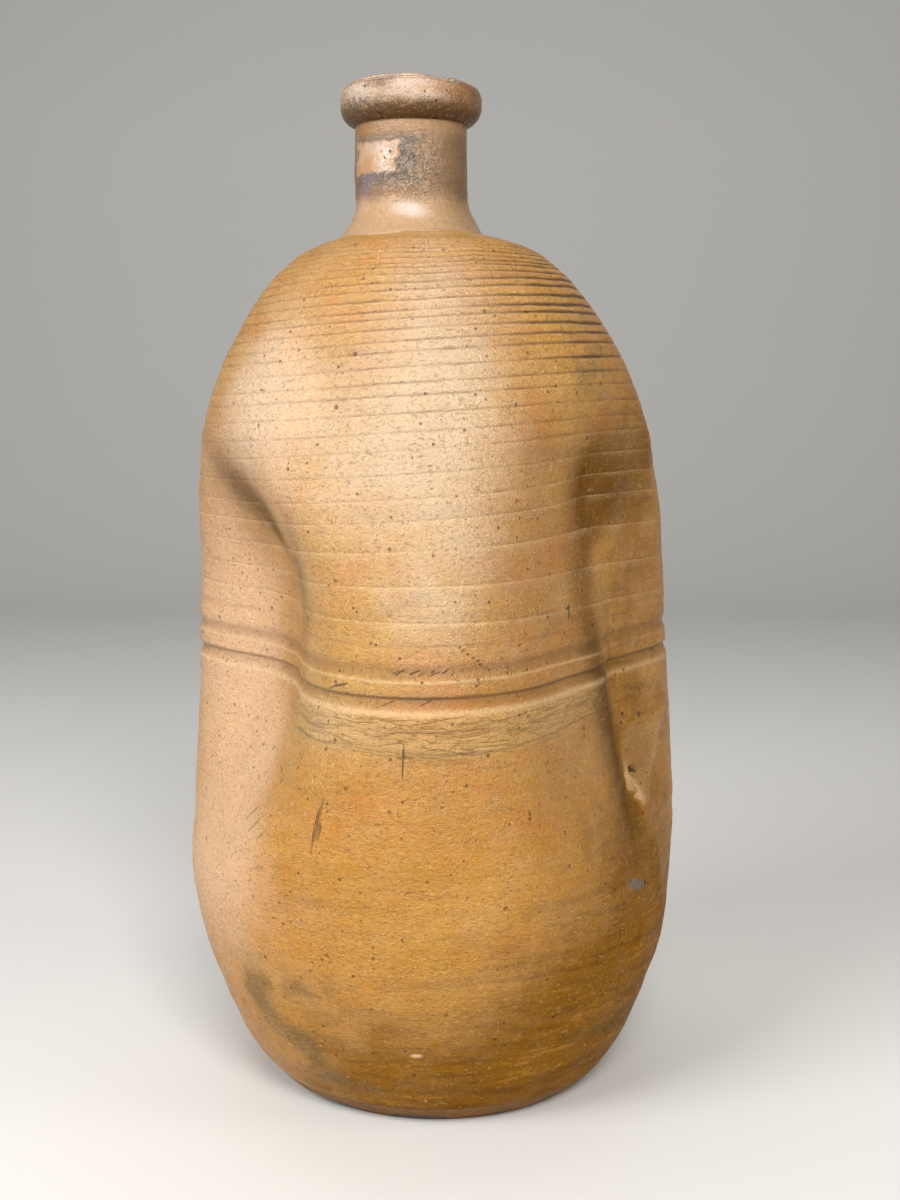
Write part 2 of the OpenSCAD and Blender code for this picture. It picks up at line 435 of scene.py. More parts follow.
def line_power(n, a):
    """Depth of the line in mm: deep on the shoulder, faint towards the waist, uneven along it."""
    turns = n + a / 360
    z = arc_z(line_at(n, a))
    own = 3.0 * n + 0 * a
    deep = 0.36 - 0.16 * ease(14, 25, turns)
    uneven = 0.75 + 0.35 * ripple(a, own, 61, 40, 3) + 0.2 * ripple(a, own, 62, 130, 3)
    ends = ease(0.5, 1.6, turns) * (1 - ease(30.2, 30.45, turns))
    left = 0.4 * ease(19, 24, turns) * patch(a, z, -70, 160, 50, 50)
    side = 0.55 + left + 0.4 * ease(-40, -5, a) * (1 - ease(70, 110, a))
    side = side + 0.5 * patch(a, z, 58, 215, 22, 18)
    return deep * np.clip(uneven, 0.15, 1.3) * ends * side


def row_offsets(pitch):
    """Distances below a line of the rows of mesh up to the next one."""
    fit = np.minimum(1, pitch / FULL_PITCH)
    first, last = AFTER_LINE[-1] * fit, pitch - BEFORE_LINE[0] * fit
    offs = [o * fit for o in AFTER_LINE]
    offs += [first + (last - first) * (i + 1) / (GAP_ROWS + 1) for i in range(GAP_ROWS)]
    return offs + [pitch - o * fit for o in BEFORE_LINE]


def stroke_power(n, a, z):
    """Strength of the black that fills the lines on the right of the shoulder."""
    smudge = patch(a, z, 56, 219.5, 22, 9.5) + 0.35 * patch(a, z, 58, 205, 17, 7)
    return 2.2 * smudge * (1.0 + 0.6 * ripple(a, 3.0 * n + 0 * a, 63, 50, 3))


def spiral_rows(a):
    """Distances down the wall for every row of the spiral's mesh, and the relief, the dark (painted
    shade in the line, and the black ink on the right of the shoulder) and the painted highlight on its
    lip."""
    rows, relief, dark, bright = [], [], [], []
    for n in range(FIRST_TURN, LAST_TURN + 1):
        here = line_at(n, a)
        z = arc_z(here)
        pitch = line_at(n + 1, a) - here
        low = ease(21, 27, n + a / 360)
        stroke = stroke_power(n, a, z)
        # Painted highlight on the lips: brighter low on the wall and at the top of the shoulder's front
        glint = 0.15 + 0.85 * low + 0.5 * patch(a, z, 0, 222, 30, 14)
        offs = row_offsets(pitch)
        if n == LAST_TURN:
            offs = offs[:1]
        for off in offs:
            from_line = np.where(off < pitch / 2, off, off - pitch)
            power = np.where(off < pitch / 2, line_power(n, a), line_power(n + 1, a))
            width = 0.22 + 0.26 * power
            cut = bell(from_line, 0, width)
            lip = bell(from_line, 1.9 * width, width)
            # Painted shade in the line
            shade = np.clip(power / 0.3, 0.3, 1) * cut * (0.62 - 0.3 * low)
            ink = stroke * bell(from_line, 0, 1.5 * width)
            rows.append(here + off)
            relief.append(power * ((0.12 + 0.4 * low) * lip - cut))
            dark.append(np.clip(np.maximum(shade, ink), 0, 1))
            bright.append(np.clip(power / 0.25, 0, 1) * glint * lip)
    return np.array(rows), np.array(relief), np.array(dark), np.array(bright)


# ---------------------------------------------------------------- meshes
def columns():
    """Directions of the mesh's columns, closer together at the front."""
    front_step, more_behind = 0.8, 1.8
    steps, a = [], -180.0
    while a < 180:
        steps.append(a)
        a += front_step + more_behind * float(ease(72, 90, abs(a)))
    return np.array(steps) + (180 - a) * np.linspace(0, 1, len(steps), endpoint=False)


def even(count):
    """So many even directions around the bottle."""
    return np.linspace(-180, 180, count, endpoint=False)


def ring_faces(upper, lower):
    """Quads between two closed rows of vertex numbers."""
    return np.stack([upper, np.roll(upper, -1), np.roll(lower, -1), lower], axis=1)


def strip_faces(upper, lower):
    """Quads between two open rows of vertex numbers."""
    return np.stack([upper[:-1], upper[1:], lower[1:], lower[:-1]], axis=1)


def fan(centre, path):
    """Triangles from one vertex to the edges of a path."""
    return [(centre, path[i], path[i + 1]) for i in range(len(path) - 1)]


def spiral_faces(above, grid, below):
    """Faces of a spiral of rows: a row's end meets the start of the row one turn further on."""
    count = len(grid)
    quads = [strip_faces(above, grid[0]), strip_faces(grid[-1], below)]
    for i in range(count - 1):
        quads.append(strip_faces(grid[i], grid[i + 1]))
    i = np.arange(count - 1 - TURN_ROWS)
    seam = [grid[i, -1], grid[i + TURN_ROWS, 0], grid[i + TURN_ROWS + 1, 0], grid[i + 1, -1]]
    quads.append(np.stack(seam, axis=1))
    start = [above[-1], above[0], *grid[: TURN_ROWS + 1, 0]]
    end = [below[0], below[-1], *grid[::-1, -1][: TURN_ROWS + 1]]
    return quads, fan(grid[0, -1], start) + fan(grid[-1, 0], end)


def new_piece(name, points, quads, tris, node, attributes):
    """A smooth closed mesh in metres that rides on the root and stands for a CAD node."""
    quads = np.concatenate(quads)
    tris = np.array(tris, dtype=int).reshape(-1, 3)
    split = np.concatenate([quads[:, [0, 1, 2]], quads[:, [0, 2, 3]], tris])
    p = points[split]
    volume = np.einsum("ij,ij->i", p[:, 0], np.cross(p[:, 1], p[:, 2])).sum()
    if volume < 0:
        quads, tris = quads[:, ::-1], tris[:, ::-1]
    mesh = bpy.data.meshes.new(name)
    mesh.from_pydata((points * MM).tolist(), [], quads.tolist() + tris.tolist())
    mesh.update()
    mesh.shade_smooth()
    mesh.set_sharp_from_angle(angle=math.radians(65))
    for key, values in attributes.items():
        layer = mesh.attributes.new(key, "FLOAT", "POINT")
        layer.data.foreach_set("value", np.asarray(values, dtype=np.float32))
    piece = bpy.data.objects.new(name, mesh)
    bpy.context.scene.collection.objects.link(piece)
    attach(piece, "root")
    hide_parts(node)
    return piece


class Rows:
    """Collects rows of vertices with their attributes."""

    def __init__(self, angles):
        self.angles = angles
        self.points = []
        self.skins = []

    def add(self, points, skin=PLAIN_SKIN):
        n = len(self.angles)
        first = len(self.points) * n
        self.points.append(points)
        self.skins.append([np.broadcast_to(value, n) for value in skin])
        return np.arange(first, first + n)

    def add_wall(self, s, extra=0.0, extra_dark=0.0, extra_lip=0.0):
        """A row of the body's skin at distance s down the wall."""
        s = np.broadcast_to(s, len(self.angles))
        skin = body_skin(s, self.angles)
        skin = skin._replace(relief=skin.relief * ease(FOOT_Z, FOOT_Z + 4, arc_z(s)))
        dark, lip = np.maximum(skin.dark, extra_dark), np.maximum(skin.lip, extra_lip)
        skin = skin._replace(dark=dark, lip=lip)
        return self.add(body_point(s, self.angles, skin.relief + extra), skin)

    def attributes(self):
        values = [np.concatenate(column) for column in zip(*self.skins)]
        return dict(zip(Skin._fields[1:], values[1:]))

    def piece(self, name, quads, tris, node, slot):
        points = np.concatenate(self.points)
        return new_piece(name, points, quads, tris, node, self.attributes())


def chain(rows):
    """Faces between each closed row and the next."""
    return [ring_faces(rows[i], rows[i + 1]) for i in range(len(rows) - 1)]


def ring(angles, x, r, z):
    """A round row of points about an axis at x."""
    t = np.radians(angles)
    return np.stack([x + r * np.sin(t), -r * np.cos(t), z + 0 * t], axis=-1)


def inner_rows(rows, distances):
    a = rows.angles
    return [rows.add(body_point(s + 0 * a, a, inside=WALL)) for s in distances]


# How far above the seam the walls' scarf ends on the inside, measured along the wall
SCARF_ARC = SCARF * 1.05
# Spacing of the rows of mesh, in mm: at the top, around the waist lines, below them where the layer
# is torn, down the rest of the wall, and inside
TOP_STEP, WAIST_STEP, TORN_STEP, WALL_STEP, INNER_STEP = 1.2, 0.3, 0.36, 0.6, 8.5
# How far the waist's rows reach above its upper line, and the torn layer's rows below the seam
WAIST_REACH, TORN_REACH = 3.4, 17


def build_upper_wall():
    a = columns()
    rows = Rows(a)
    s_seam = float(arc_of(SEAM_Z))
    top = [rows.add_wall(TOP_STEP * i) for i in range(7)]
    s, relief, dark, lip = spiral_rows(a)
    grid = np.array([rows.add_wall(s[i], relief[i], dark[i], lip[i]) for i in range(len(s))])
    s_flat = float(arc_of(LINE_Z)) - WAIST_REACH
    below = [rows.add_wall(s[-1] + (s_flat - s[-1]) * part) for part in (0.25, 0.5, 0.75, 1)]
    waist = np.arange(s_flat + WAIST_STEP, s_seam - 0.1, WAIST_STEP)
    below += [rows.add_wall(row) for row in waist]
    below.append(rows.add_wall(s_seam))
    inner = [s_seam - SCARF_ARC - i * INNER_STEP for i in range(15)]
    below += inner_rows(rows, [row for row in inner if row > 9])
    for z in (BODY_H - WALL, BODY_H - 0.3):
        below.append(rows.add(ring(a, NECK_X, HOLE_R, z)))
    quads, tris = spiral_faces(top[-1], grid, below[0])
    quads += chain(top) + chain(below) + [ring_faces(below[-1], top[0])]
    return rows.piece("upper_body", quads, tris, "upper_wall", "body_clay")


def build_lower_wall():
    a = columns()
    rows = Rows(a)
    s_seam, s_foot = float(arc_of(SEAM_Z)), float(arc_of(FOOT_Z))
    fine = np.arange(s_seam, s_seam + TORN_REACH, TORN_STEP)
    coarse = np.linspace(fine[-1] + 0.5, s_foot, int((s_foot - fine[-1]) / WALL_STEP))
    made = [rows.add_wall(s) for s in np.concatenate([fine, coarse])]
    made.append(rows.add(ring(a, 0, crest(FOOT_Z) - WALL, FOOT_Z)))
    made += inner_rows(rows, np.linspace(s_foot - 4, s_seam - SCARF_ARC, 14))
    return rows.piece("lower_body", chain(made + made[:1]), [], "lower_wall", "body_clay")


def rounded(points, radius, steps=6):
    """An outline with each inner corner rounded by a quadratic curve."""
    out = [np.array(points[0], float)]
    for before, corner, after in zip(points, points[1:], points[2:]):
        before, corner, after = (np.array(p, float) for p in (before, corner, after))
        d0, d1 = before - corner, after - corner
        r = min(radius, np.hypot(*d0) / 2, np.hypot(*d1) / 2)
        p0, p1 = corner + d0 / np.hypot(*d0) * r, corner + d1 / np.hypot(*d1) * r
        for t in np.linspace(0, 1, steps):
            out.append(p0 * (1 - t) ** 2 + corner * 2 * t * (1 - t) + p1 * t * t)
    out.append(np.array(points[-1], float))
    return np.array(out)


def resample(outline, step):
    """The same outline with points about one step apart."""
    d = np.concatenate([[0], np.cumsum(np.hypot(*np.diff(outline, axis=0).T))])
    n = max(2, int(d[-1] / step))
    t = np.linspace(0, d[-1], n + 1)
    return np.stack([np.interp(t, d, outline[:, 0]), np.interp(t, d, outline[:, 1])], axis=1)


def shoulder_z(points):
    """Height of the shoulder's crest under points of the neck's foot."""
    top = np.linspace(0, 40, 200)
    z = arc_z(top)
    away = np.hypot(points[:, 0] - lean(BODY_H), points[:, 1])
    return np.interp(away, crest(z), z)


# The flare at the neck's foot: its height and how far it spreads past the tube
FLARE_H, FLARE_OUT = 10.5, 4.6


def neck_row(a, height, drop):
    """One row of the neck's skin; drop is how far the shoulder falls away under each direction."""
    up = np.clip(height / FLARE_H, 0, 1)
    r = NECK_R + FLARE_OUT * (1 - math.sin(up * math.pi / 2)) ** 1.3
    s = height + 0 * a
    lump = 0.2 * ripple(a, s, 72, 9, 9) + 0.07 * ripple(0 * a, s, 73, 1, 2.2)
    lump = lump + 0.04 * ripple(a, s, 74, 100, 1.4)
    tilt = 0.9 * (1 - up) * np.sin(np.radians(a))
    r = r + lump * ease(0, 3, height) + tilt * ease(0, 4, height)
    points = ring(a, NECK_X, r, BODY_H + height)
    points[:, 2] += drop * (1 - up) ** 3
    return points


def build_neck():
    """Tube with a flared foot that follows the shoulder, a spigot below and a tongue above."""
    a = even(300)
    rows = Rows(a)
    made = [rows.add(ring(a, NECK_X, SPIGOT_R, z)) for z in (SPIGOT_Z, BODY_H - 1.2)]
    foot = ring(a, NECK_X, NECK_R + FLARE_OUT, BODY_H)
    drop = shoulder_z(foot) - BODY_H
    made.append(rows.add(foot - np.outer(1.5 - drop, (0, 0, 1))))
    for height in np.arange(-0.25, RIM_Z - BODY_H + 0.8, 0.4):
        made.append(rows.add(neck_row(a, height, drop)))
    tongue = [(TONGUE_R, RIM_Z + 0.8), (TONGUE_R, TONGUE_Z), (BORE_R, TONGUE_Z)]
    made += [rows.add(ring(a, NECK_X, r, z)) for r, z in tongue]
    made += [rows.add(ring(a, NECK_X, BORE_R, z)) for z in np.linspace(RIM_Z, SPIGOT_Z, 12)]
    return rows.piece("neck_tube", chain(made + made[:1]), [], "neck", "neck_clay")


def rim_outline():
    """Outline of the rim: undercut, fat rolled bead, two fine rings, rounded lip and bore."""
    bead = [
        (4.2, 0.3), (3.6, 0.2), (2.3, 0.9), (1.0, 2.2), (0.2, 4.1), (0, 6.0), (0.1, 8.0),
        (0.6, 9.4), (1.3, 10.35), (1.9, 10.1), (2.2, 11.0), (2.9, 10.85), (3.4, 11.7),
        (5.0, 12.0), (6.6, 11.8),
    ]
    outline = [(TONGUE_R, 4), (TONGUE_R, 0.3)] + [(RIM_R - inwards, up) for inwards, up in bead]
    outline += [(BORE_R + 0.6, 11.0), (BORE_R, 9.6)]
    scaled = np.array(outline) * (1, (TOP_Z - RIM_Z) / 12.0) + (0, RIM_Z)
    return resample(rounded(scaled, 0.45, 5), 0.24)


def rim_row(a, r, z):
    """One row of the rim, and its skin with the two fine rings around the top: painted shade in their
    grooves and painted highlights on their crowns.
    """
    up = z - RIM_Z
    outside = ease(NECK_R - 0.5, NECK_R + 1, r) * (1 - ease(TOP_Z - 0.6, TOP_Z - 0.1, z))
    s = up + 8 * (r < RIM_R - 5) + 0 * a
    lump = 0.22 * ripple(a, s, 82, 10, 6) + 0.05 * ripple(a, s, 83, 90, 1.2)
    worn = 0.8 * bell(a, 30, 13) + 0.5 * bell(a, 62, 16) + 0.5 * bell(a, 42, 4)
    worn = worn * ease(TOP_Z - 4, TOP_Z, z + 0 * a)
    grooves = bell(up, 10.1, 0.2) + bell(up, 10.85, 0.2)
    crowns = bell(up, 10.5, 0.16) + bell(up, 11.3, 0.2)
    side = float(r > RIM_R - 3.6) * (0.6 + 0.4 * ripple(a, s, 84, 24, 3))
    skin = PLAIN_SKIN._replace(dark=grooves * side, lip=crowns * side)
    return ring(a, NECK_X, r + lump * outside, z - worn), skin


def build_rim():
    a = even(320)
    rows = Rows(a)
    made = [rows.add(*rim_row(a, r, z)) for r, z in rim_outline()]
    made.append(rows.add(ring(a, NECK_X, BORE_R, TONGUE_Z)))
    return rows.piece("rolled_rim", chain(made + made[:1]), [], "rim", "rim_clay")


def build_base():
    """Slab with a rounded edge under the wall and a slightly hollow, gritty underside."""
    a = even(288)
    rows = Rows(a)
    inner_r = crest(FOOT_Z) - WALL - 1
    middle_r, edge_z = 0.5, 0.5
    made = [rows.add(ring(a, 0, r, FLOOR_Z)) for r in (middle_r, inner_r * 0.5, inner_r)]
    made.append(rows.add(ring(a, 0, inner_r, FOOT_Z)))
    for z in np.linspace(FOOT_Z, edge_z, 16):
        skin = body_skin(arc_of(z) + 0 * a, a)
        fade = ease(0, 2, z) * (1 - ease(FOOT_Z - 2, FOOT_Z, z))
        made.append(rows.add(ring(a, lean(z), crest(z) + skin.relief * fade, z), skin))
    edge = crest(edge_z)
    for part in np.linspace(0.3, 2.2, 5):
        made.append(rows.add(ring(a, 0, edge - part, edge_z * (1 - min(1, part / 1.5)) ** 2)))
    for r in np.linspace(edge - 4, middle_r, 30):
        hollow = 0.35 * ease(edge - 4, edge - 14, r)
        grit = 0.1 * ripple(a, r + 0 * a, 91, 60, 2.5) * ease(edge - 4, edge - 8, r)
        made.append(rows.add(ring(a, 0, r, hollow + grit)))
    tris = fan(made[0][0], made[0][:0:-1]) + fan(made[-1][0], made[-1][1:])
    return rows.piece("foot", chain(made), tris, "base", "foot_clay")


# ---------------------------------------------------------------- materials
class Nodes:
    """Short names for shader nodes. Each node is made after the ones that feed it: Cycles works
    through them in that order, and would run out of room for their values otherwise."""

    def __init__(self, name):
        self.material = bpy.data.materials.new(name)
        self.material.use_nodes = True
        self.tree = self.material.node_tree
        self.tree.nodes.clear()
        self.output = self.node("OutputMaterial")
        self.colour = None
        self.place = self.node("TexCoord").outputs["Object"]

    def link(self, value, socket):
        if hasattr(value, "is_output"):
            self.tree.links.new(value, socket)
        else:
            socket.default_value = value

    def node(self, kind, **inputs):
        """A new node, with each named input linked to a socket or set to a value."""
        node = self.tree.nodes.new("ShaderNode" + kind)
        for name, value in inputs.items():
            self.link(value, node.inputs[name.replace("_", " ")])
        return node

    def math(self, kind, a, b=0.0, clamp=False):
        node = self.node("Math")
        node.operation, node.use_clamp = kind, clamp
        self.link(a, node.inputs[0])
        self.link(b, node.inputs[1])
        return node.outputs[0]

    def add(self, a, b):
        return self.math("ADD", a, b)

    def times(self, a, b, clamp=False):
        return self.math("MULTIPLY", a, b, clamp)

    def most(self, values):
        """The largest of several values."""
        out = values[0]
        for value in values[1:]:
            out = self.math("MAXIMUM", out, value)
        return out

    def pile(self, height, *layers):
        """A height with layers of (value, power) added to it."""
        for value, power in layers:
            height = self.add(height, self.times(value, power))
        return height

    def height(self):
        """Height above the foot, in metres."""
        return self.node("SeparateXYZ", Vector=self.place).outputs[2]

    def attribute(self, name):
        node = self.node("Attribute")
        node.attribute_name = name
        return node.outputs["Fac"]

    def scaled(self, scale, shift):
        """Object coordinates multiplied along each axis, and moved."""
        return self.node("Mapping", Vector=self.place, Scale=scale, Location=shift).outputs[0]

    def noise(self, size_mm, detail=4.0, rough=0.55, stretch=1.0, twist=0.0, seed=0.0):
        """Noise of about this grain size; stretch makes it longer around than up."""
        n = 1 / (size_mm * MM)
        scale = (n / stretch, n / stretch, n)
        vector = self.scaled(scale, (seed * 7.3, seed * 3.1, seed * 5.7))
        node = self.node(
            "TexNoise", Vector=vector, Scale=1.0, Detail=detail, Roughness=rough, Distortion=twist
        )
        return node.outputs["Fac"]

    def cells(self, size_mm, seed):
        """Cells about one point each: the distance to it and the cell's own colour."""
        n = 1 / (size_mm * MM)
        vector = self.scaled((n, n, n), (seed, seed * 2.3, seed * 1.7))
        node = self.node("TexVoronoi", Vector=vector, Scale=1.0)
        return node.outputs["Distance"], node.outputs["Color"]

    def ramp(self, value, low, high, out_low=0.0, out_high=1.0):
        """Smooth step from out_low at low to out_high at high."""
        node = self.node(
            "MapRange", Value=value, From_Min=low, From_Max=high, To_Min=out_low, To_Max=out_high
        )
        node.interpolation_type = "SMOOTHSTEP"
        return node.outputs[0]

    def mix(self, base, colour, amount):
        node = self.node("Mix")
        node.data_type = "RGBA"
        self.link(amount, node.inputs["Factor"])
        self.link(base, node.inputs["A"])
        self.link(colour, node.inputs["B"])
        return node.outputs["Result"]

    def ground(self, colour, other, value, low, high):
        """Begin the colour with two sRGB colours, the second as a value goes from low to high."""
        self.colour = self.mix(rgb(*colour), rgb(*other), self.ramp(value, low, high))

    def lay(self, colour, mask):
        """Lay an sRGB colour over what is there, where a mask is set."""
        self.colour = self.mix(self.colour, rgb(*colour), mask)

    def wash(self, colour, mask, power, clamp=False):
        self.lay(colour, self.times(mask, power, clamp))

    def stain(self, colour, value, low, high, power):
        """Lay an sRGB colour over what is there as a value goes from low to high."""
        self.lay(colour, self.ramp(value, low, high, 0, power))

    def local(self, place, radii_mm, lean=0.0):
        """Coordinates about a mark at (direction, centre): across, inwards and up, in its radii."""
        direction, centre = place
        node = self.node(
            "Mapping",
            Vector=self.place,
            Location=[v * MM for v in centre],
            Rotation=(0, math.radians(lean), math.radians(direction)),
            Scale=[v * MM for v in radii_mm],
        )
        node.vector_type = "TEXTURE"
        return node.outputs[0]

    def waved(self, away, wave, ragged):
        """A distance made uneven by a noise."""
        return away if wave is None else self.add(away, self.times(self.add(wave, -0.5), ragged))

    def oval(self, place, half_w, half_h, lean=0.0, soft=0.35, wave=None, ragged=0.9, power=1.0):
        """A mark on the wall at (direction, centre): power inside, 0 outside."""
        spot = self.local(place, (2 * half_w, 12.0, 2 * half_h), lean)
        node = self.node("TexGradient", Vector=spot)
        node.gradient_type = "SPHERICAL"
        inside = self.waved(node.outputs["Fac"], wave, ragged / 2)
        return self.ramp(inside, 0.5 - soft / 2, 0.5 + soft / 2, 0.0, power)

    def block(self, place, half_w, half_h, soft, wave, ragged):
        """A roughly square mark with ragged sides."""
        spot = self.node("SeparateXYZ", Vector=self.local(place, (half_w, 6.0, half_h)))
        across, inwards, up = (self.math("ABSOLUTE", part) for part in spot.outputs)
        away = self.most([across, up, self.times(inwards, 0.5)])
        return self.ramp(self.waved(away, wave, ragged), 1 + soft, 1 - soft)

    def cloudy(self, zone, grain_mm, ragged, soft, seed):
        """A broad zone given a ragged, cloudy edge."""
        wave = self.noise(grain_mm, 6, 0.68, seed=seed)
        return self.ramp(self.waved(zone, wave, 2 * ragged), 0.5 - soft, 0.5 + soft)

    def bump(self, height, strength, distance_mm):
        node = self.node("Bump", Strength=strength, Distance=distance_mm * MM, Height=height)
        return node.outputs["Normal"]

    def finish(self, roughness, normal, specular):
        shader = self.node(
            "BsdfPrincipled",
            Base_Color=self.colour,
            Roughness=roughness,
            Normal=normal,
            Specular_IOR_Level=specular,
        )
        self.link(shader.outputs[0], self.output.inputs[0])
        return self.material


def rgb(r, g, b):
    """Colour from sRGB values of 0 to 255."""
    def linear(v):
        v /= 255
        return v / 12.92 if v <= 0.04045 else ((v + 0.055) / 1.055) ** 2.4

    return (linear(r), linear(g), linear(b), 1.0)


def on_wall(a, z):
    """A direction and the point of the body's skin there, in mm."""
    point = body_point(float(arc_of(z)), np.array([float(a)]))[0]
    return a, tuple(float(v) for v in point)


def on_neck(a, z, r=NECK_R):
    """A direction and a point at that height on the neck or the rim."""
    t = math.radians(a)
    return a, (NECK_X + r * math.sin(t), -r * math.cos(t), z)


def pits(n, size_mm, radius, share, seed):
    """Scattered round pits: a share of the cells of a grid has one."""
    distance, colour = n.cells(size_mm, seed)
    pick = n.node("SeparateColor", Color=colour)
    there = n.ramp(pick.outputs[0], 1 - share, 1 - share + 0.01)
    size = n.times(n.add(pick.outputs[1], 0.5), radius)
    away = n.math("DIVIDE", distance, size)
    return n.times(n.ramp(away, 1.3, 0.7), there)


# Cracks and cuts of the front as (direction, height, half width, half height, lean, power)
CROSS = [
    (-4, 105.7, 0.2, 3.9, 3, 0.9), (-4, 107.0, 1.7, 0.16, -4, 0.5), (-3.8, 107.2, 0.4, 0.5, 0, 0.9),
]
SLIT = [
    (-22.0, 88.3, 0.42, 4.2, 14, 0.7), (-21.6, 87.0, 0.6, 2.2, 16, 0.6),
    (-20.4, 93.6, 0.14, 2.2, 10, 0.5), (-23.2, 82.6, 0.14, 1.8, 10, 0.45),
]
TEE = [(40, 138, 0.3, 1.7, 2, 1.0), (40, 139.3, 1.0, 0.4, -8, 1.0)]
HOLES = [
    (74, 105.8, 0.55, 0.5, 0, 1.0), (82.3, 104.3, 0.55, 0.5, 0, 1.0),
    (73.4, 90.3, 1.5, 0.5, 30, 1.0),
]
WAIST_STROKES = [
    (-16.5, 123.4, 2.0, 0.2, -16, 1.0), (-18.5, 122.6, 1.2, 0.14, -30, 0.6),
    (-6.5, 120, 1.6, 0.14, -24, 0.6), (0.5, 120.2, 1.6, 0.14, -24, 0.6),
]
SCRATCHES = [
    (-44, 86.2, 3.4, 0.2, -38, 0.45), (-41, 83.8, 3.0, 0.18, -42, 0.45),
    (-39, 86.0, 2.2, 0.16, -36, 0.4), (-37.5, 82.2, 1.6, 0.16, -44, 0.4),
]
# A slanting row of dots above the waist lines, each a little different
DOTS = [
    (7.0 + 0.8 * i + 0.25 * math.sin(5 * i), 133.6 - 0.9 * i,
     0.3 + 0.1 * (i % 2), 0.26, 0, 0.5 + 0.2 * (i % 3))
    for i in range(6)
]
# Nicks that the tool left along the upper waist line
NICKS = [
    (-5 + 1.3 * i + 0.5 * math.sin(4 * i), 127.5 + 0.3 * math.sin(3 * i),
     0.9 + 0.5 * math.sin(2.3 * i), 0.13 + 0.05 * (i % 2), -20 - 11 * (i % 3), 0.6 + 0.2 * (i % 2))
    for i in range(9)
]
CUTS = CROSS + SLIT + TEE + HOLES + WAIST_STROKES + SCRATCHES + DOTS + NICKS
# Bare clay along the broken edge of the pressed patch: direction, height, half width, half height
CHIP_EDGE = [(70.6, 88.6, 1.1, 1.7), (70.4, 86, 1.3, 1.5), (72, 83.2, 1.7, 0.9)]


def cut_marks(n, wave):
    total = 0.0
    for a, z, half_w, half_h, lean_deg, power in CUTS:
        place = on_wall(a, z)
        mark = n.oval(place, half_w, half_h, lean_deg, wave=wave, ragged=1.1, power=power)
        total = n.math("MAXIMUM", mark, total)
    return total


def bare_clay(n, streak):
    """Warm clay in clouds and blotches, with wisps and streaks around the wall."""
    cloud = n.noise(42, 4, 0.55, seed=1)
    blotch = n.noise(11, 5, 0.62, stretch=1.8, seed=2)
    n.ground((172, 116, 34), (184, 132, 48), cloud, 0.36, 0.64)
    n.stain((188, 112, 24), blotch, 0.48, 0.72, 0.6)
    n.stain((194, 150, 72), blotch, 0.46, 0.28, 0.5)
    wisps = n.noise(5, 5, 0.6, stretch=7, seed=18)
    n.stain((136, 92, 26), wisps, 0.52, 0.7, 0.45)
    n.stain((138, 88, 26), streak, 0.54, 0.74, 0.3)
    n.stain((212, 166, 104), streak, 0.44, 0.28, 0.22)


def stained_clay(n, torn):
    """Colours of the kiln's fire and ash, with painted light, painted sheen and painted shade laid in
    among them; returns the masks that the gloss needs.
    """
    low = n.ramp(n.height(), 0.112, 0.075)
    n.wash((192, 130, 22), low, 0.3)
    # Pale pink clay, partly painted light on the lit left side
    n.wash((224, 180, 139), n.cloudy(n.attribute("peach"), 16, 0.35, 0.5, 6), 0.82)
    # Pale ash with a painted sheen: whitish where the highlight falls on the shoulder
    ash = n.cloudy(n.attribute("ash"), 10, 0.4, 0.68, 15)
    n.wash((208, 186, 156), ash, 0.68)
    n.wash((194, 158, 96), n.cloudy(torn, 7, 0.4, 0.5, 7), 0.42)
    # Darker and browner towards the foot and on the right: partly the clay's stain, partly painted
    # shade
    brown = n.cloudy(n.attribute("brown"), 13, 0.5, 0.45, 8)
    n.wash((124, 80, 0), brown, 0.88)
    wiped = n.noise(2.6, 5, 0.66, stretch=7, seed=51)
    n.lay((88, 54, 8), n.times(n.ramp(wiped, 0.5, 0.64, 0, 0.5), brown))
    n.lay((188, 130, 48), n.times(n.ramp(wiped, 0.44, 0.3, 0, 0.6), brown))
    # Painted shade: the shaded side of the right dent's fold and the top of the left dent, laid into
    # the colour
    shadow = n.cloudy(n.attribute("shadow"), 14, 0.25, 0.5, 16)
    n.wash((94, 60, 14), shadow, 0.87)
    smoke = n.cloudy(n.attribute("smoke"), 6, 0.75, 0.3, 9)
    n.wash((88, 72, 26), smoke, 0.62)
    pepper = n.ramp(n.noise(1.2, 4, 0.7, stretch=2.5, seed=10), 0.5, 0.62)
    n.wash((92, 58, 34), n.times(pepper, smoke), 0.45)
    return low, ash, brown, shadow, smoke


def sandy_clay(n, grain, speck):
    """Grain and specks of the clay; returns the pale flecks that stand out of it, partly painted
    glints.
    """
    n.stain((122, 76, 28), grain, 0.54, 0.68, 0.6)
    n.stain((232, 190, 134), grain, 0.43, 0.28, 0.35)
    n.stain((118, 76, 34), speck, 0.56, 0.72, 0.22)
    n.stain((238, 202, 148), speck, 0.42, 0.28, 0.16)
    flecks_and_glints = n.ramp(n.noise(1.1, 3, 0.5, stretch=2.2, twist=0.8, seed=19), 0.64, 0.7)
    flecks_and_glints = n.times(flecks_and_glints, n.ramp(n.noise(14, 3, 0.6, seed=20), 0.42, 0.6, 0.25, 1))
    # Pale flecks, partly painted glints of light
    n.wash((226, 180, 112), flecks_and_glints, 0.45)
    return flecks_and_glints


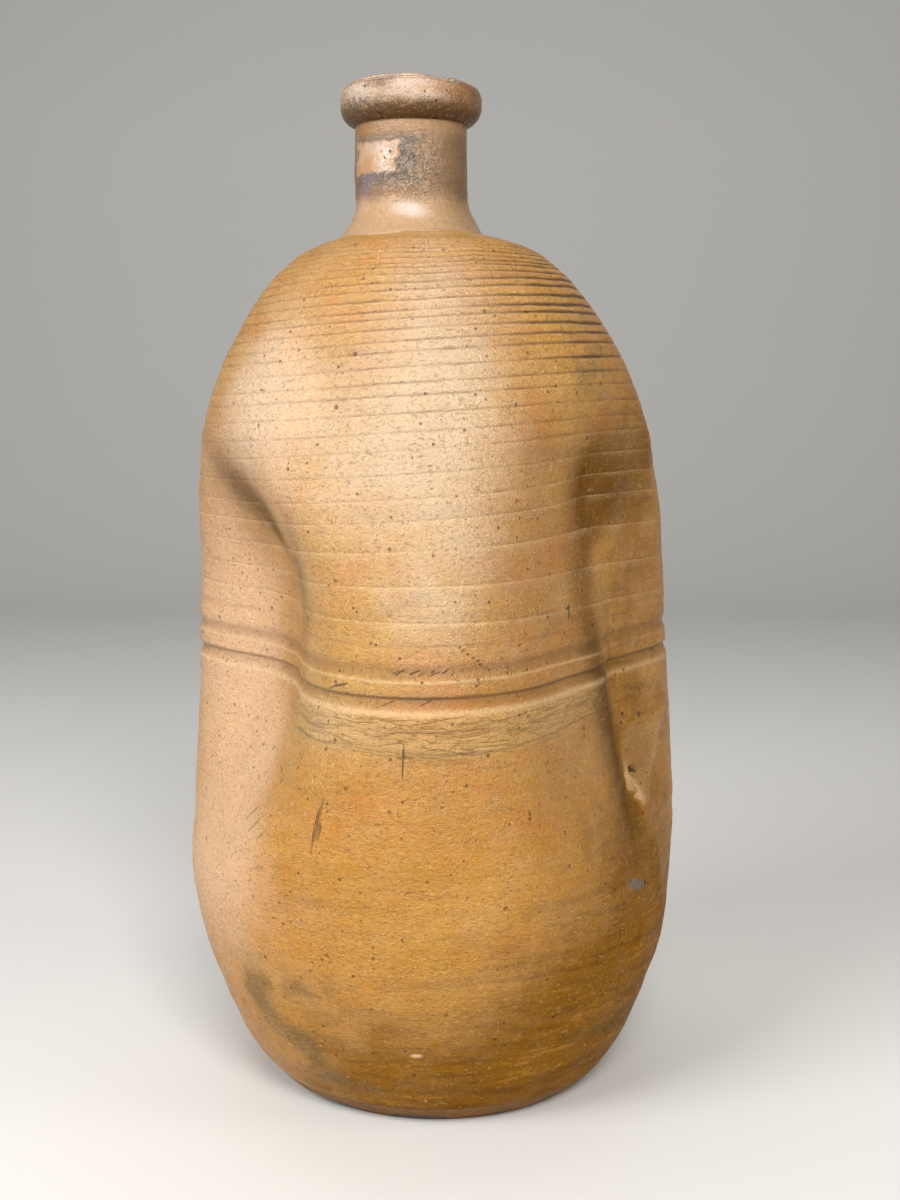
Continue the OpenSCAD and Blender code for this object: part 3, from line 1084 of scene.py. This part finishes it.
def marked_clay(n, grain):
    """Pits, cuts, a slate-grey spot, a flake, a scuff and the chip; returns the pits and cuts."""
    small, large = pits(n, 2.6, 0.11, 0.4, 3.0), pits(n, 6.0, 0.06, 0.6, 5.0)
    holes = n.math("MAXIMUM", small, large)
    n.wash((84, 50, 22), holes, 0.6)
    wave = n.noise(1.5, 3, 0.6, seed=14)
    cuts = cut_marks(n, wave)
    n.wash((66, 46, 32), cuts, 0.75)
    n.wash((112, 106, 98), n.oval(on_wall(56, 63.5), 4.4, 1.4, 14, 0.35, wave, 1.4), 0.75)
    flake = n.oval(on_wall(-4, 25), 1.5, 0.6, wave=wave)
    scuff = n.oval(on_wall(-48, 49.5), 6, 5, 40, 0.6, wave, 1.2)
    scuff = n.times(scuff, n.ramp(grain, 0.5, 0.6))
    chip_edge = [
        n.oval(on_wall(a, z), half_w, half_h, 0, 0.3, wave, 1.6)
        for a, z, half_w, half_h in CHIP_EDGE
    ]
    n.wash((208, 168, 118), n.most(chip_edge), 0.6)
    n.wash((232, 194, 158), n.most([flake, n.times(scuff, 0.5)]), 0.75)
    return holes, cuts


def body_clay():
    n = Nodes("body_clay")
    dark, lip, torn = (n.attribute(key) for key in ("dark", "lip", "torn"))
    streak = n.noise(1.3, 5, 0.62, stretch=9, seed=3)
    grain = n.noise(0.8, 4, 0.66, stretch=1.5, seed=4)
    speck = n.noise(0.34, 2, 0.6, stretch=1.4, seed=5)
    bare_clay(n, streak)
    low, ash, brown, shadow, smoke = stained_clay(n, torn)
    flecks_and_glints = sandy_clay(n, grain, speck)
    # Painted highlights on the lips of the lines, with the pressed patch's pale edge; then painted
    # shade in the grooves, with the ink, the torn edges and the pit
    n.wash((236, 200, 150), lip, 0.5, clamp=True)
    n.wash((76, 46, 22), dark, 0.8, clamp=True)
    holes, cuts = marked_clay(n, grain)

    height = n.pile(grain, (speck, 1.1), (streak, 0.6), (flecks_and_glints, 0.8))
    flakes = n.ramp(n.noise(1.7, 4, 0.55, stretch=6, twist=0.6, seed=17), 0.44, 0.56)
    height = n.pile(height, (n.times(flakes, torn), 1.1))
    lumps = n.noise(4.5, 3, 0.5, stretch=2.5, seed=12)
    normal = n.bump(n.pile(height, (lumps, 1.2), (holes, -1.6), (cuts, -2.5)), 1.0, 0.52)
    rough = n.ramp(n.noise(2.2, 4, 0.6, stretch=2, seed=13), 0.35, 0.65, 0.25, 0.4)
    rough = n.pile(rough, (n.most([torn, smoke, dark, brown]), 0.12))
    matt = n.most([brown, shadow, n.times(low, 0.5)])
    return n.finish(rough, normal, n.pile(0.65, (ash, 0.6), (matt, -0.64)))


# The black dots on the neck's pale patch: direction, height, half width and half height
PALE_DOTS = [(-20, 258.2, 0.35, 0.4), (-26, 256.6, 0.28, 0.3), (-30, 258.4, 0.22, 0.24)]


def neck_clay():
    n = Nodes("neck_clay")
    height_up = n.height()
    cloud = n.noise(9, 5, 0.62, seed=21)
    crackle = n.noise(0.8, 4, 0.7, stretch=0.6, seed=22)
    ringed = n.noise(0.7, 3, 0.6, stretch=9, seed=23)
    lines = n.math("ABSOLUTE", n.add(n.noise(2.0, 3, 0.55, twist=0.9, seed=27), -0.5))
    blister = n.oval(on_neck(2, 254), 8.5, 8, 0, 0.6, n.noise(3, 4, 0.65, seed=28), 1.2)
    veins = n.times(n.ramp(lines, 0.05, 0.0), blister)
    n.ground((112, 84, 52), (136, 102, 66), cloud, 0.35, 0.65)
    low = n.ramp(height_up, (BODY_H + 14) * MM, (BODY_H + 5) * MM)
    low = n.cloudy(low, 6, 0.5, 0.4, 24)
    n.wash((176, 142, 106), low, 0.85)
    n.wash((176, 136, 104), blister, 0.4)
    # Painted highlight on the flare at the neck's foot
    shine = n.oval(on_neck(0, 243, 17.5), 4.4, 1.8, 12, 0.8, n.noise(3, 3, 0.6, seed=30), 1.0)
    n.wash((226, 214, 210), shine, 0.48)
    n.stain((206, 170, 130), crackle, 0.57, 0.67, 0.5)
    n.stain((96, 70, 48), crackle, 0.43, 0.3, 0.6)
    dull = n.times(n.ramp(ringed, 0.52, 0.66, 0, 0.5), n.ramp(low, 0, 1, 1, 0.25))
    n.lay((106, 76, 46), dull)
    n.wash((216, 184, 146), veins, 0.5)
    # Painted shade: the neck darker on its right, away from the key light
    n.wash((100, 74, 42), n.oval(on_neck(62, 252), 9, 12, 0, 0.9), 0.5)
    wave = n.noise(3, 4, 0.65, seed=26)
    n.wash((86, 84, 80), n.block(on_neck(-30, 256.2), 9.5, 6.2, 0.4, wave, 1.3), 0.72)
    collar = n.ramp(height_up, (RIM_Z - 4.5) * MM, (RIM_Z - 1.5) * MM)
    n.wash((158, 116, 70), collar, 0.45)
    n.wash((122, 110, 122), n.oval(on_neck(-52, 249.5), 2.6, 3.4, 10, 0.7, wave, 1.5), 0.55)
    n.wash((196, 152, 136), n.oval(on_neck(-56, 244.6), 2.4, 2.4, 0, 0.7, wave, 1.5), 0.45)
    pale = n.block(on_neck(-40, 257.2), 7.2, 4.2, 0.2, wave, 1.2)
    fade = n.ramp(n.noise(6, 3, 0.5, seed=29), 0.36, 0.64)
    fade = n.mix(rgb(174, 132, 92), rgb(180, 152, 128), fade)
    n.colour = n.mix(n.colour, fade, n.times(pale, 0.92))
    dots = [n.oval(on_neck(a, z), half_w, half_h) for a, z, half_w, half_h in PALE_DOTS]
    n.lay((40, 34, 30), n.most(dots))
    small = pits(n, 3.0, 0.09, 0.25, 7.0)
    n.wash((70, 50, 34), small, 0.7)
    height = n.pile(n.times(crackle, 0.8), (ringed, n.ramp(low, 0, 1, 0.8, 0.15)), (veins, 1.4))
    height = n.pile(height, (n.most([small, *dots]), -1.5))
    height = n.pile(n.times(height, n.ramp(pale, 0, 1, 1, 0.3)), (pale, -0.9))
    normal = n.bump(height, 1.0, 0.26)
    rough = n.ramp(n.noise(2.0, 4, 0.6, seed=25), 0.35, 0.65, 0.22, 0.38)
    return n.finish(rough, normal, n.pile(0.7, (low, -0.3)))


# Marks on the rim: direction, height, distance in from its widest part, half width, half height,
# lean, softness, raggedness and power
RIM_ASH = [
    (-44, 269.6, 0, 16, 3.2, 4, 0.7, 1.4, 0.75), (20, 269.0, 0, 16, 2.4, 3, 0.7, 1.4, 0.7),
    (-25, 276.2, 2, 4.5, 1.6, -10, 0.7, 1.6, 0.9), (34, 277.6, 3, 6, 1.6, 8, 0.6, 1.4, 0.8),
    (165, 272, 0, 30, 6, 0, 0.6, 1.2, 0.6),
]
# Painted highlights: the pale band on the left and the glints across the middle of the rim
RIM_HIGHLIGHTS = [(-50, 273, 0, 8, 4, 0, 0.9, 1.3, 1), (0, 275.2, 0, 8, 2.2, 0, 0.9, 1.6, 0.7)]
RIM_GLINTS = [(2, 272.4, 0, 10, 1.6, 3, 0.4, 3.2, 0.6)]


def rim_marks(n, table, wave):
    return n.most([
        n.oval(on_neck(a, z, RIM_R - inwards), half_w, half_h, lean, soft, wave, ragged, power)
        for a, z, inwards, half_w, half_h, lean, soft, ragged, power in table
    ])


def rim_clay():
    n = Nodes("rim_clay")
    cloud = n.noise(8, 5, 0.62, seed=31)
    fleck = n.noise(0.7, 4, 0.68, stretch=1.3, seed=32)
    ringed = n.noise(0.6, 3, 0.6, stretch=12, seed=33)
    n.ground((140, 94, 44), (172, 126, 76), cloud, 0.36, 0.64)
    wave = n.noise(4, 4, 0.65, seed=36)
    ash = rim_marks(n, RIM_ASH, wave)
    # Painted highlights, from the pale marks and the glints
    pale = n.most([rim_marks(n, RIM_HIGHLIGHTS, wave), rim_marks(n, RIM_GLINTS, fleck)])
    n.wash((204, 186, 170), pale, 0.75)
    # Painted shade on the rim's underside, which also dulls it
    under = n.cloudy(n.ramp(n.height(), (RIM_Z + 7) * MM, (RIM_Z + 1.5) * MM), 4, 0.4, 0.5, 38)
    n.wash((62, 40, 18), under, 0.85)
    # Painted shade on the right of the rim
    n.wash((96, 60, 26), n.oval(on_neck(72, 271, RIM_R), 12, 8, 0, 0.9), 0.65)
    peppered = n.ramp(fleck, 0.44, 0.58)
    n.wash((104, 78, 46), ash, 0.55)
    n.wash((58, 42, 28), n.times(ash, peppered), 0.8)
    n.stain((118, 74, 42), fleck, 0.56, 0.7, 0.5)
    n.stain((226, 182, 136), fleck, 0.42, 0.3, 0.35)
    small = pits(n, 3.0, 0.1, 0.35, 9.0)
    n.wash((60, 42, 30), small, 0.75)
    # Painted highlights on the fine rings and painted shade in their grooves
    n.wash((226, 200, 170), n.attribute("lip"), 0.75)
    n.wash((78, 50, 28), n.attribute("dark"), 0.85)
    height = n.pile(fleck, (ringed, 0.7))
    height = n.pile(height, (n.noise(1.8, 3, 0.6, seed=37), 1.2), (small, -1.4))
    normal = n.bump(height, 1.0, 0.44)
    rough = n.ramp(n.noise(1.6, 4, 0.6, seed=35), 0.35, 0.65, 0.18, 0.34)
    return n.finish(rough, normal, n.pile(1.0, (under, -0.85)))


def foot_clay():
    n = Nodes("foot_clay")
    cloud = n.noise(12, 5, 0.62, seed=41)
    grain = n.noise(0.8, 4, 0.62, seed=42)
    streak = n.noise(1.5, 5, 0.6, stretch=11, seed=3)
    # Dark, as the lower wall is: partly the clay's tone, partly painted shade
    n.ground((126, 80, 0), (108, 72, 14), cloud, 0.4, 0.65)
    n.stain((104, 74, 50), grain, 0.52, 0.7, 0.4)
    n.stain((184, 130, 70), grain, 0.42, 0.28, 0.25)
    wave = n.noise(3, 4, 0.65, seed=44)
    front = n.oval((-6, (-5, -42.5, 0.5)), 7, 2.4, 0, 0.6, wave, 1.4)
    left = n.oval((-40, (-27, -33, 1.0)), 9, 2.2, 0, 0.6, wave, 1.4)
    n.wash((66, 62, 64), n.most([front, left]), 0.8)
    small = pits(n, 3.4, 0.1, 0.4, 11.0)
    n.wash((70, 48, 34), small, 0.75)
    normal = n.bump(n.pile(grain, (streak, 0.6), (small, -1.5)), 0.85, 0.16)
    rough = n.ramp(n.noise(2.2, 4, 0.6, seed=43), 0.35, 0.65, 0.45, 0.62)
    return n.finish(rough, normal, 0.2)


# ---------------------------------------------------------------- pieces
walls = [build_upper_wall(), build_lower_wall()]
neck = build_neck()
rim = build_rim()
foot = build_base()
clay = body_clay()
for wall in walls:
    wall.data.materials.append(clay)
neck.data.materials.append(neck_clay())
rim.data.materials.append(rim_clay())
foot.data.materials.append(foot_clay())


# ---------------------------------------------------------------- floor, light and camera
def plain(name, colour, roughness):
    material = bpy.data.materials.new(name)
    material.use_nodes = True
    shader = material.node_tree.nodes["Principled BSDF"]
    shader.inputs["Base Color"].default_value = colour
    shader.inputs["Roughness"].default_value = roughness
    return material


def make_floor():
    """Pale floor that curves up into a backdrop."""
    deep, wide, rise, bend = 1.0, 3.0, 2.2, 0.5
    line = [(-1.2, 0.0), (deep, 0.0)]
    line += [
        (deep + bend * math.sin(t), bend * (1 - math.cos(t)))
        for t in np.radians(np.linspace(6, 90, 15))
    ]
    line.append((deep + bend, rise))
    points = [(side * wide, y, z) for y, z in line for side in (-1, 1)]
    faces = [(2 * i, 2 * i + 1, 2 * i + 3, 2 * i + 2) for i in range(len(line) - 1)]
    mesh = bpy.data.meshes.new("floor")
    mesh.from_pydata(points, [], faces)
    mesh.shade_smooth()
    floor = bpy.data.objects.new("floor", mesh)
    bpy.context.scene.collection.objects.link(floor)
    mesh.materials.append(plain("pale_floor", rgb(214, 212, 208), 0.8))


def make_light(name, place, aim, size, size_y, power, colour):
    data = bpy.data.lights.new(name, "AREA")
    data.shape, data.size, data.size_y = "RECTANGLE", size, size_y
    data.energy, data.color = power, colour
    light = bpy.data.objects.new(name, data)
    light.location = place
    light.rotation_mode = "QUATERNION"
    light.rotation_quaternion = (Vector(aim) - Vector(place)).to_track_quat("-Z", "Y")
    bpy.context.scene.collection.objects.link(light)


def make_camera():
    """Eye about seven tenths of the way up the bottle, 45 cm away, looking a little down."""
    data = bpy.data.cameras.new("camera")
    data.lens, data.sensor_width = 48.0, 36.0
    data.clip_start = 0.01
    camera = bpy.data.objects.new("camera", data)
    camera.location = EYE
    camera.rotation_euler = (math.radians(90 - LOOK_DOWN), 0, 0)
    bpy.context.scene.collection.objects.link(camera)
    bpy.context.scene.camera = camera


def make_world():
    world = bpy.data.worlds.new("world")
    world.use_nodes = True
    sky = world.node_tree.nodes["Background"].inputs
    sky["Color"].default_value = (0.8, 0.82, 0.85, 1)
    sky["Strength"].default_value = 0.16
    bpy.context.scene.world = world
    bpy.context.scene.view_settings.view_transform = "Standard"


EYE = (0.0035, -1.618 * 0.28, 0.687 * 0.28)
LOOK_DOWN = 7.125
# Each light: name, place, aim, width, height, power and colour
LIGHTS = [
    ("key", (-0.68, -0.62, 0.62), (0, 0, 0.14), 0.5, 0.5, 9.7, (1, 1, 1)),
    ("front", (0.15, -0.95, 0.78), (0, 0, 0.17), 0.42, 0.42, 11.6, (1, 1, 1)),
    ("side", (0.9, -0.35, 0.5), (0, 0, 0.16), 0.3, 0.5, 2.3, (1, 0.93, 0.82)),
    ("top", (-0.1, 0.3, 1.1), (0, 0, 0.14), 0.8, 0.8, 3, (1, 1, 1)),
]
make_floor()
make_camera()
for light in LIGHTS:
    make_light(*light)
make_world()
